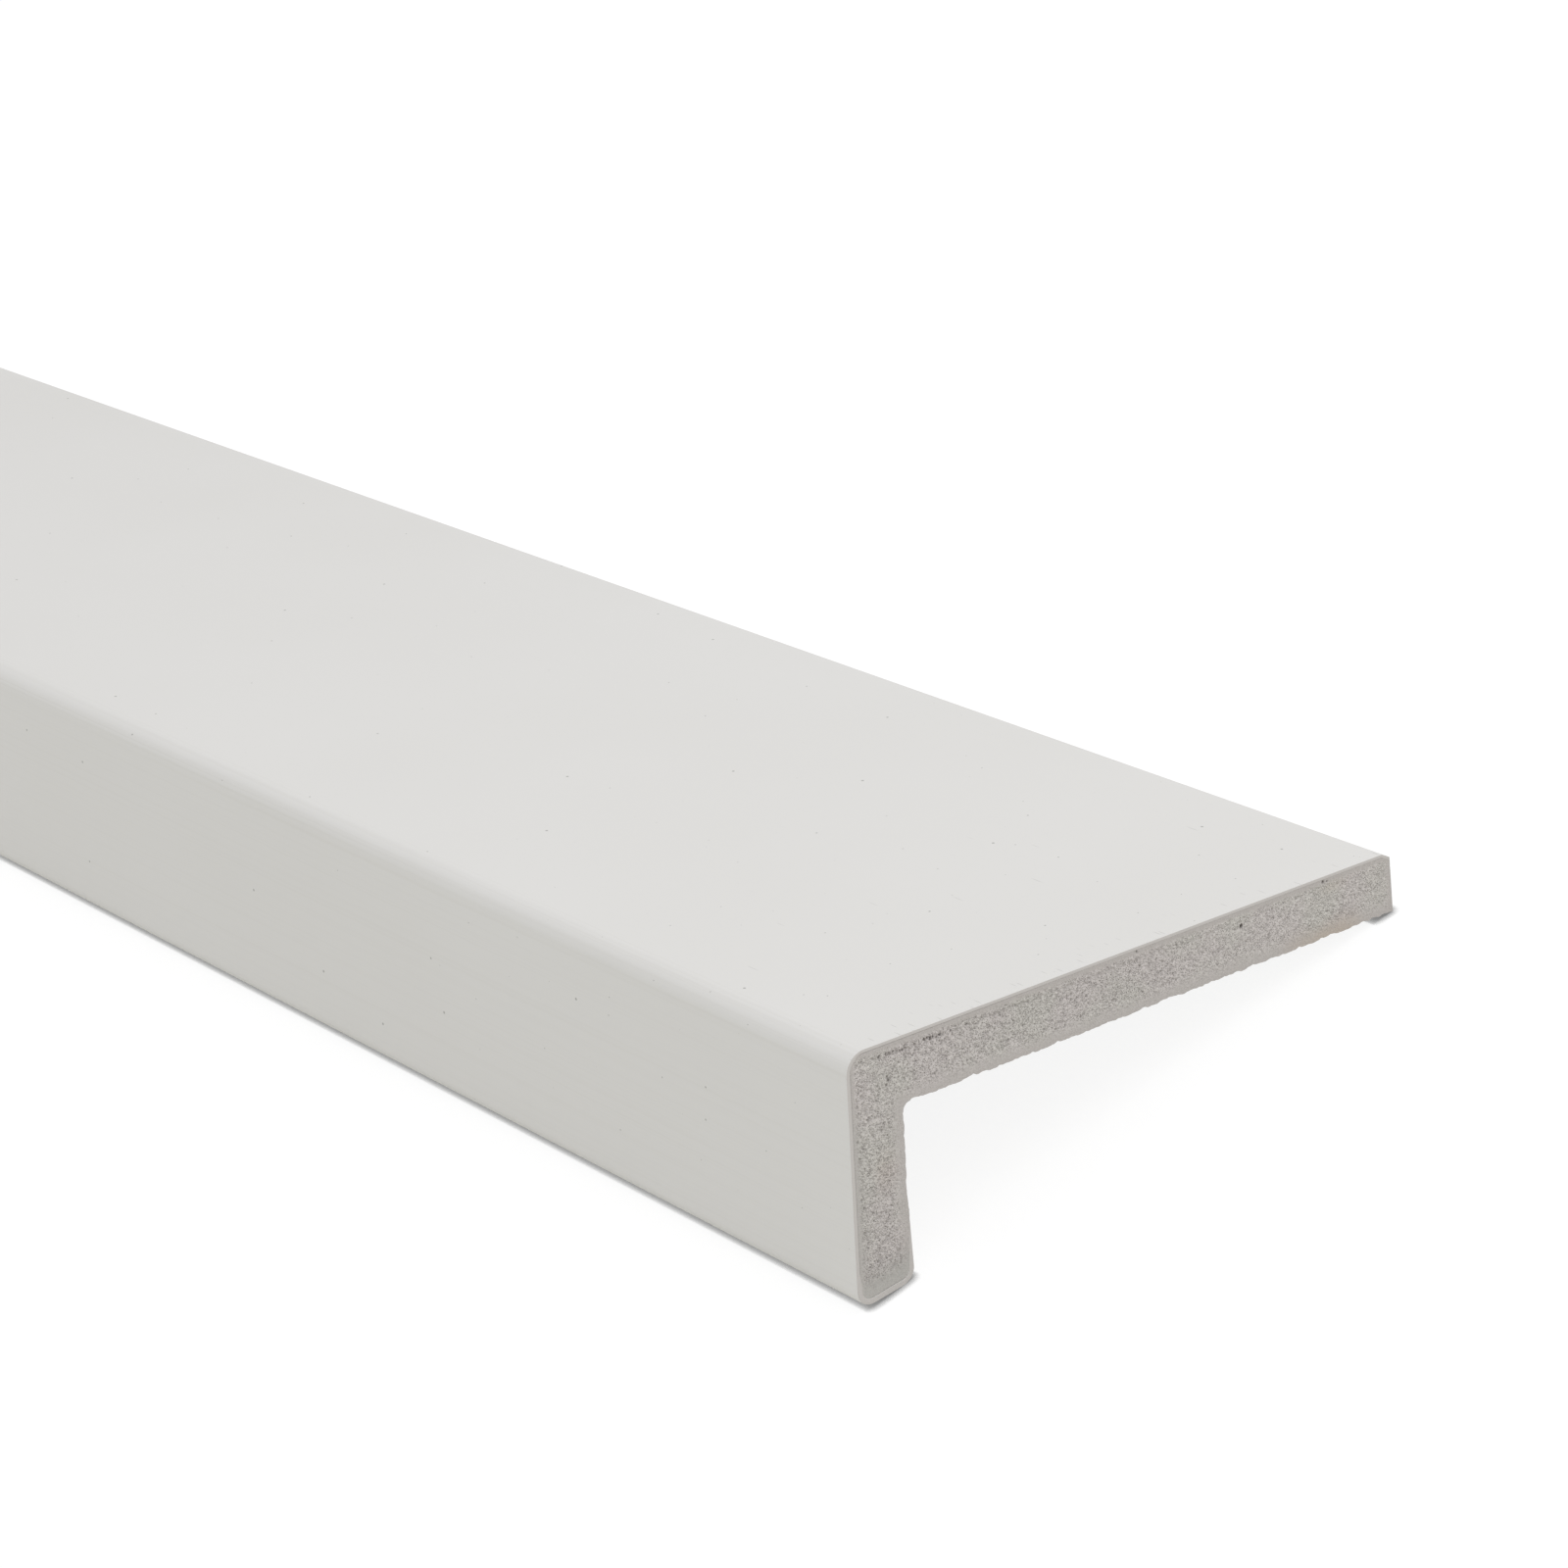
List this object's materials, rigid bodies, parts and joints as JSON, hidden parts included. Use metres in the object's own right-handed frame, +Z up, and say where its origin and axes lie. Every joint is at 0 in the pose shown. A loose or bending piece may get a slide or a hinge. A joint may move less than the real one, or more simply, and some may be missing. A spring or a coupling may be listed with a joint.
{
  "type": "fascia board",
  "caption": "White cellular plastic fascia cover board: a wide flat face with a short return leg along one edge, foam core showing at the sawn ends.",
  "frame": {"origin": "bottom centre of the whole board as it lies at rest on a level floor, wide face up", "axes": "+X runs along the board towards the sawn end that the picture shows, +Y from the leg towards the free edge, +Z up; the section is tipped 15.975 degrees about X, because the board rests on its toe and on its free edge"},
  "size_m": [2.5, 0.1054, 0.0359],
  "materials": {
    "white_skin": "smooth satin co-extruded skin, with faint lengthwise die lines",
    "foam_core": "sawn foam with fine cells, matt",
    "foamed_back": "free-foamed back with fine uneven lengthwise ridges, matt"
  },
  "bodies": {
    "root": {"fascia_board": "white_skin"}
  },
  "joints": []
}
